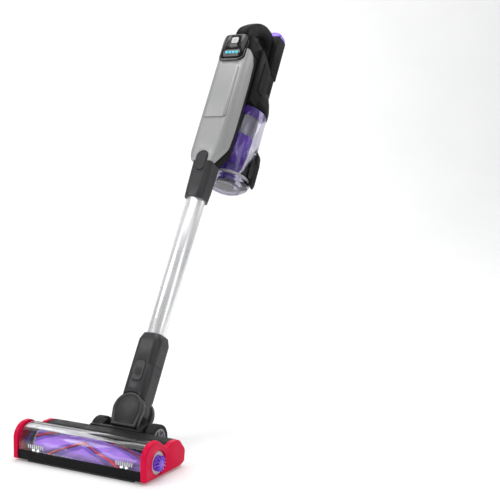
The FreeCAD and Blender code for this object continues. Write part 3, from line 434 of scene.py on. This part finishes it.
def smooth_run(pts, n):
    """Catmull-Rom run through the points, ends included."""
    q = [2 * Vector(pts[0]) - Vector(pts[1])] + [Vector(p) for p in pts] + [2 * Vector(pts[-1]) - Vector(pts[-2])]
    out = []
    for i in range(1, len(q) - 2):
        for k in range(n):
            t = k / n
            out.append(0.5 * ((2 * q[i]) + (q[i + 1] - q[i - 1]) * t + (2 * q[i - 1] - 5 * q[i] + 4 * q[i + 1] - q[i + 2]) * t * t
                              + (3 * q[i] - 3 * q[i + 1] + q[i + 2] - q[i - 1]) * t * t * t))
    out.append(Vector(pts[-1]))
    return out


# ---------------------------------------------------------------- brush roll
BY, BZ = -34.0, 27.5
NX, NT = 240, 180


def strip_gap(x, th):
    """Degrees from the nearest bristle strip behind this point of the nap."""
    return (th - 132.0 - 0.97 * abs(x)) % 90.0


def nap_radius(x, th):
    d = strip_gap(x, th)
    q = min(d, 90.0 - d) / 45.0
    rr = 22.6 + 1.7 * (1 - (1 - q) ** 3) - 0.45 * (0.5 + 0.5 * math.cos(math.radians(d * 12)))
    rr += 0.16 * math.sin(x * 2.7 + th * 0.11) * math.sin(th * 0.9 + x * 0.35) + random.uniform(-0.10, 0.10)
    e = min(x + 101.5, 116.0 - x)
    return rr - (1.6 * (1 - e / 3.0) ** 2 if e < 3.0 else 0.0)


# painted shade: nap faces near a bristle strip get the darker copies, darkest closest to the strip
def nap_shade_pick(i, j):
    x = -101.5 + 217.5 * (i + 0.5) / NX
    d = strip_gap(x, 360.0 * (j + 0.5) / NT)
    if d < 7 or d > 86:
        return 2
    if d < 24 or d > 76:
        return 1
    return 0


rows = []
for i in range(NX + 1):
    x = -101.5 + 217.5 * i / NX
    rows.append([H(x, BY + nap_radius(x, t) * math.cos(math.radians(t)), BZ + nap_radius(x, t) * math.sin(math.radians(t)))
                 for t in [360.0 * j / NT for j in range(NT)]])
nap = rings("nap_roll", rows, M["nap"], "brush", mats=[M["nap"], M["nap_half_shade"], M["nap_dark"]], pick=nap_shade_pick)
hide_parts("brush_nap")

for si, t0 in enumerate((132.0, 42.0, -48.0, 222.0)):
    for side in (-1, 1):
        rows = []
        lim = 101.0 if side < 0 else 115.5
        n = 90
        for i in range(n + 1):
            ax = lim * i / n
            x = side * ax
            th = math.radians(t0 + 0.97 * ax)
            hw = 0.8 + (0.6 if side > 0 and 32 < ax < 62 else 0.0)
            top = 25.7 + 0.25 * math.sin(ax * 5.1)
            ct, st = math.cos(th), math.sin(th)
            tv = (-st, ct)
            loop = []
            for rr, w in ((20.5, -1), (20.5, 1), (top, 0.8), (top, -0.8)):
                loop.append(H(x, BY + rr * ct + tv[0] * w * hw, BZ + rr * st + tv[1] * w * hw))
            rows.append(loop)
        rings("bristle_%d_%s" % (si, "l" if side < 0 else "r"), rows, M["bristle"], "brush", smooth=False)

for x0, x1 in ((-104.6, -101.7), (116.3, 119.4), (122.4, 125.2)):
    prof = [(15.0, x0), (20.4, x0), (21.0, (x0 + x1) / 2), (20.4, x1), (15.0, x1)]
    rows = [[H(u, BY + q * math.cos(t), BZ + q * math.sin(t)) for q, u in prof] for t in [2 * math.pi * k / 96 for k in range(96)]]
    rings("brush_ring_%d" % int(x0 + 200), rows, M["rim_grey"], "brush", closed=True)

# ---------------------------------------------------------------- painted highlight band along the window's top edge, and lens ribs
# a light grey strip just inside the window's top edge, painting its highlight
rows = []
for i in range(61):
    x = -129.0 + 258.0 * i / 60
    loop = []
    for rr, ang in [(29.95, 60 + 3 * k) for k in range(9)] + [(29.35, 84 - 3 * k) for k in range(9)]:
        t = math.radians(ang)
        loop.append(H(x, -37.5 - rr * math.cos(t), 29.5 + rr * math.sin(t)))
    rows.append(loop)
rings("window_painted_highlight_band", rows, M["band"], "head")

for s in (-1, 1):
    for i in range(8):
        x = s * 93 - 15.5 + 4.43 * i
        o = slab("lens_rib_%s%d" % ("l" if s < 0 else "r", i), rounded(x, 28.6, 1.15, 3.4, 0.8, 4), lambda a, c, d: H(a, -66.4 - d, c), 0.8, M["lens"], "head", 0.15)

# ---------------------------------------------------------------- handle
OUT = [(-15.0, 857), (-16.5, 868), (-12, 883), (3, 900), (20, 915.5), (37, 928), (54, 936.0), (71, 939.6), (87, 939.4), (95.4, 933), (96.5, 914), (96.4, 884), (96.3, 856), (96.3, 828)]
INN = [(20, 862), (24.5, 870), (31, 881), (38, 889.5), (46, 896.5), (54, 901.5), (63, 904.2), (71.5, 904.4), (78.5, 902), (83.8, 896), (86.3, 886), (87.0, 870), (87.0, 850), (87.0, 828)]
oo, ii = smooth_run([(q[0], q[1], 0) for q in OUT], 8), smooth_run([(q[0], q[1], 0) for q in INN], 8)
rows = []
for i, (p, q) in enumerate(zip(oo, ii)):
    c, h = (p + q) / 2, (p - q) / 2
    f = i / (len(oo) - 1)
    hw = 15.2 + 1.6 * max(0.0, 1 - abs(f - 0.05) / 0.2) - 0.8 * math.sin(math.pi * min(1, f / 0.7))
    loop = []
    for k in range(40):
        t = 2 * math.pi * k / 40
        e = 2.0 / 3.1
        a = math.copysign(abs(math.cos(t)) ** e, math.cos(t))
        g = math.copysign(abs(math.sin(t)) ** e, math.sin(t))
        pt = c + h * a
        loop.append(W(hw * g, pt.x, pt.y))
    rows.append(loop)
hd = rings("handle_grip", rows, M["black"], "handheld")
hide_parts("handle_loop")


# ---------------------------------------------------------------- battery cap
rows = []
for i in range(25):
    f = i / 24.0
    u = 937.0 + 18.8 * math.sin(f * math.pi / 2)
    k = max(0.04, math.cos(f * math.pi / 2)) ** 0.62
    loop = []
    for j in range(72):
        t = 2 * math.pi * j / 72
        e = 2.0 / 3.4 if f < 0.6 else 2.0 / 2.6
        a = math.copysign(abs(math.cos(t)) ** e, math.cos(t))
        g = math.copysign(abs(math.sin(t)) ** e, math.sin(t))
        loop.append(W(26.9 * k * a, 117.5 + 20.4 * k * g, u))
    rows.append(loop)
dome = rings("battery_dome", rows, M["cap_purple"], "battery")
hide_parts("battery_cap")


# ---------------------------------------------------------------- display
def dv(x):
    """Front face of the display at this x."""
    q = max(0.0, abs(x) - 17.7)
    return -27.4 + 20.5 - math.sqrt(max(0.0, 20.5 ** 2 - q * q))


def on_display(pts, lift):
    return [W(x, dv(x) - lift, u) for x, u in pts]


edge = [p for p in rounded(0, 821, 28.6, 30.2, 13.5, 8)]
low = [p for p in edge if p[1] < 816]
low.sort(key=lambda p: math.atan2(p[1] - 821, p[0]))
low = [(-28.6, 818.0)] + low + [(28.6, 818.0)]
pipe("display_edge_line", on_display(low, 0.05), 0.32, M["line_grey"], "handheld")
pipe("light_bar_line", on_display(rounded(0, 808.1, 18.9, 4.4, 4.3, 6), 0.28), 0.36, M["line_grey"], "handheld", closed=True)
for k in range(4):
    x = -12.0 + 8.0 * k
    slab("light_%d" % k, rounded(x, 808.1, 3.1, 2.6, 1.6, 5), lambda a, c, d: W(a, dv(a) - 0.22 - d, c), 0.35, M["led"], "handheld", 0.12)
arc = [(3.1 * math.sin(math.radians(t)), 837.6 + 3.1 * math.cos(math.radians(t))) for t in range(38, 323, 12)]
pipe("power_mark_arc", [W(x, -28.25, u) for x, u in arc], 0.42, M["line_grey"], "power_key")
pipe("power_mark_bar", [W(0, -28.25, 838.2), W(0, -28.25, 840.0), W(0, -28.25, 842.0)], 0.42, M["line_grey"], "power_key")
ring = [(-19.5 + 3.4 * math.cos(math.radians(t)), 827 + 3.4 * math.sin(math.radians(t))) for t in range(0, 360, 15)]
pipe("display_mark_ring", on_display(ring, 0.02), 0.28, M["icon_grey"], "handheld", closed=True)
for k in range(3):
    pipe("display_mark_bar_%d" % k, on_display([(14.5 - k, 823.5 + 2.6 * k), (18.0, 823.7 + 2.6 * k), (22.5 + k, 824.0 + 2.6 * k)], 0.02), 0.28, M["icon_grey"], "handheld")
wv = [(-6 + 0.6 * k, 819.6 + 1.2 * math.sin(k * 0.7)) for k in range(21)]
pipe("display_mark_wave", on_display(wv, 0.02), 0.28, M["icon_grey"], "handheld")

# ---------------------------------------------------------------- cup, lid and latch
turned("lid_rim_band", [(46.6, 570.0), (49.2, 570.0), (49.6, 568.4), (49.5, 565.6), (48.95, 564.2), (48.65, 564.2), (48.65, 569.9)], M["rim_grey"], "lid")
turned("duct_mouth_ring", [(16.4, 562.8), (19.0, 562.8), (19.4, 566.0), (19.4, 573.6), (17.2, 573.6), (17.2, 566.0)], M["purple"], "cup", axis_v=88.0)
turned("lid_pad", [(0.3, 551.0), (18.2, 551.4), (19.6, 553.0), (19.6, 560.6), (18.6, 561.8), (0.3, 561.8)], M["rubber"], "lid", axis_v=88.0, n=96)
turned("lid_dish_rib", [(30.4, 549.8), (31.8, 549.8), (31.8, 553.0), (30.4, 553.0)], M["rim_grey"], "lid")
for k in range(20):
    t = math.radians(18 * k)
    rows = []
    for d in (-0.6, 0.6):
        rows.append([W(q * math.cos(t) - d * math.sin(t), 91 + q * math.sin(t) + d * math.cos(t), u)
                     for q, u in ((31.5, 712.6), (35.0, 712.9), (44.6, 722.6), (44.6, 724.2), (43.4, 724.2))])
    rings("hood_vane_%d" % k, rows, M["purple"], "cup", smooth=False)
LT = math.radians(12)
for s in (-1, 1):
    prof = [(48.0, 574), (52.6, 571), (56.0, 576), (56.0, 604), (50.2, 617), (48.0, 617)]
    rows = [[W(q * math.cos(LT) - d * math.sin(LT), 91 + q * math.sin(LT) + d * math.cos(LT), u) for q, u in prof] for d in (s * 13.2, s * 15.0)]
    soften(rings("latch_guard_%s" % ("f" if s < 0 else "r"), rows, M["clear"], "cup"), 0.5, 30, 3)


def floor_mat():
    m, nt, bs, out = new_mat("floor_mat")
    v = coords(nt)
    n = noise(nt, v, 3.0, 4.0)
    nt.links.new(ramp(nt, n, [(0.3, (0.80, 0.80, 0.80)), (0.7, (0.83, 0.83, 0.83))]), bs.inputs["Base Color"])
    bs.inputs["Roughness"].default_value = 0.6
    bs.inputs["Specular IOR Level"].default_value = 0.2
    bs.inputs["Emission Color"].default_value = (1, 1, 1, 1)
    bs.inputs["Emission Strength"].default_value = 0.14
    return m


prof = [(-5.0, 0.0), (2.2, 0.0)] + [(2.2 + 1.8 * math.sin(math.radians(t)), 1.8 - 1.8 * math.cos(math.radians(t))) for t in range(6, 91, 6)] + [(4.0, 6.0)]
verts = [(x, y, z) for y, z in prof for x in (-9.0, 9.0)]
fm = bpy.data.meshes.new("floor")
fm.from_pydata(verts, [], [(2 * i, 2 * i + 1, 2 * i + 3, 2 * i + 2) for i in range(len(prof) - 1)])
for p in fm.polygons:
    p.use_smooth = True
fl = bpy.data.objects.new("floor", fm)
fm.materials.append(floor_mat())
scene.collection.objects.link(fl)
fl.rotation_euler = (0, 0, math.radians(35.0))

# ---------------------------------------------------------------- light
wd = bpy.data.worlds.new("studio")
scene.world = wd
wd.use_nodes = True
bg = wd.node_tree.nodes["Background"]
bg.inputs[0].default_value = (0.94, 0.95, 0.97, 1)
bg.inputs[1].default_value = 0.34


def area(name, loc, target, size, power, col=(1, 1, 1), size_y=None):
    l = bpy.data.lights.new(name, "AREA")
    l.energy = power
    l.size = size
    if size_y:
        l.shape = "RECTANGLE"
        l.size_y = size_y
    l.color = col
    o = bpy.data.objects.new(name, l)
    scene.collection.objects.link(o)
    o.location = loc
    d = Vector(target) - Vector(loc)
    o.rotation_euler = d.to_track_quat("-Z", "Y").to_euler()
    return o


area("key", (-1.5, -1.6, 2.1), (0, 0.2, 0.4), 1.1, 20)
area("side", (2.2, -0.5, 1.2), (0, 0.2, 0.45), 0.9, 9, size_y=1.8)
area("front", (-0.5, -2.4, 0.45), (0, 0.25, 0.62), 0.9, 9)
area("top", (0.1, 0.2, 2.7), (0, 0.2, 0.3), 2.0, 26)
area("rim", (1.2, 2.0, 1.5), (0, 0.3, 0.5), 0.9, 9)
area("backdrop", (-0.6, 1.2, 3.2), (-1.8, 3.4, 0.6), 2.5, 70)

scene.view_settings.view_transform = "Standard"
